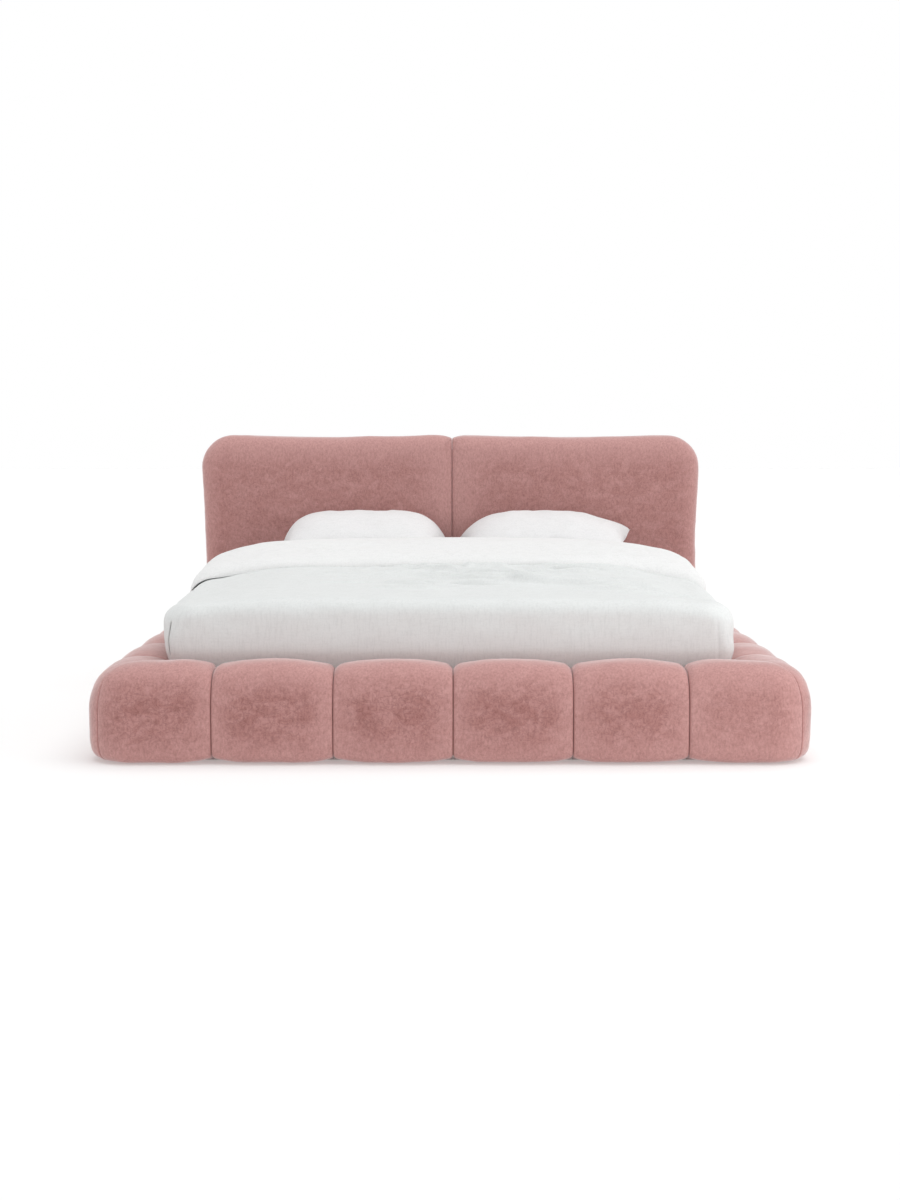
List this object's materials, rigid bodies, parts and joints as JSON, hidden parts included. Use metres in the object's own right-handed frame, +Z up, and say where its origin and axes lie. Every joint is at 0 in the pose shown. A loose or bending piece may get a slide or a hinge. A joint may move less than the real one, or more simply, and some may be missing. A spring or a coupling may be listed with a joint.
{
  "type": "upholstered headboard bed",
  "caption": "Low upholstered bed with a ring of rounded quilted puffs, a split-cushion headboard, a sprung slat base, and a mattress, duvet and pillows that lift off.",
  "frame": {"origin": "middle of the footprint, on the floor", "axes": "+X across the bed to the right as seen from the foot, +Y from the foot to the headboard, +Z up"},
  "size_m": [2.35, 2.467, 1.062],
  "materials": {
    "velvet": "short-pile velvet in dusty pink, with soft mottled patches where the pile lies differently",
    "backing_cloth": "plain woven cloth in a matching dusty pink",
    "beech": "laminated beech, clear lacquer",
    "pine": "planed pine, bare",
    "plywood": "birch plywood, bare",
    "black_steel": "black powder coat",
    "zinc_fasteners": "zinc plated",
    "black_plastic": "moulded nylon, fine matt texture",
    "ticking": "off-white knitted mattress ticking",
    "white_sheet": "white cotton, plain weave",
    "white_duvet": "white cotton duvet cover, soft matt, faint weave",
    "white_pillow": "white cotton pillowcase, soft matt"
  },
  "bodies": {
    "root": {"beam_hangers": "black_steel", "centre_beam": "pine", "centre_leg_feet": "black_plastic", "centre_legs": "black_steel", "corner_bolts": "zinc_fasteners", "corner_brackets": "black_steel", "foot_inner_board": "pine", "foot_outer_board": "plywood", "foot_puff_1": "velvet", "foot_puff_2": "velvet", "foot_puff_3": "velvet", "foot_puff_4": "velvet", "foot_puff_5": "velvet", "foot_puff_6": "velvet", "foot_top_board": "plywood", "head_rail_back_board": "pine", "head_rail_cap": "velvet", "head_rail_front_board": "velvet", "headboard_back_cover": "backing_cloth", "headboard_back_panel": "plywood", "headboard_bolts": "zinc_fasteners", "headboard_bottom_rail": "pine", "headboard_centre_post": "pine", "headboard_cushion_left": "velvet", "headboard_cushion_right": "velvet", "headboard_post_left": "pine", "headboard_post_right": "pine", "headboard_top_rail": "pine", "ledger_screws": "zinc_fasteners", "left_inner_board": "pine", "left_ledger": "pine", "left_outer_board": "plywood", "left_puff_1": "velvet", "left_puff_2": "velvet", "left_puff_3": "velvet", "left_puff_4": "velvet", "left_puff_5": "velvet", "left_puff_6": "velvet", "left_top_board": "plywood", "rail_glides": "black_plastic", "rail_ribs": "plywood", "right_inner_board": "pine", "right_ledger": "pine", "right_outer_board": "plywood", "right_puff_1": "velvet", "right_puff_2": "velvet", "right_puff_3": "velvet", "right_puff_4": "velvet", "right_puff_5": "velvet", "right_puff_6": "velvet", "right_top_board": "plywood", "slat_caps_left": "black_plastic", "slat_caps_right": "black_plastic", "slats_left": "beech", "slats_right": "beech"},
    "mattress": {"mattress": "ticking", "fitted_sheet": "white_sheet"},
    "duvet": {"duvet": "white_duvet"},
    "pillow_left": {"pillow_left": "white_pillow"},
    "pillow_right": {"pillow_right": "white_pillow"}
  },
  "joints": [
    {"name": "mattress_lift", "type": "slide", "parent": "root", "child": "mattress", "axis": [0, 0, 1], "range_m": [0, 0.5]},
    {"name": "duvet_lift", "type": "slide", "parent": "mattress", "child": "duvet", "axis": [0, 0, 1], "range_m": [0, 0.5]},
    {"name": "pillow_left_lift", "type": "slide", "parent": "mattress", "child": "pillow_left", "axis": [0, 0, 1], "range_m": [0, 0.4]},
    {"name": "pillow_right_lift", "type": "slide", "parent": "mattress", "child": "pillow_right", "axis": [0, 0, 1], "range_m": [0, 0.4]}
  ]
}
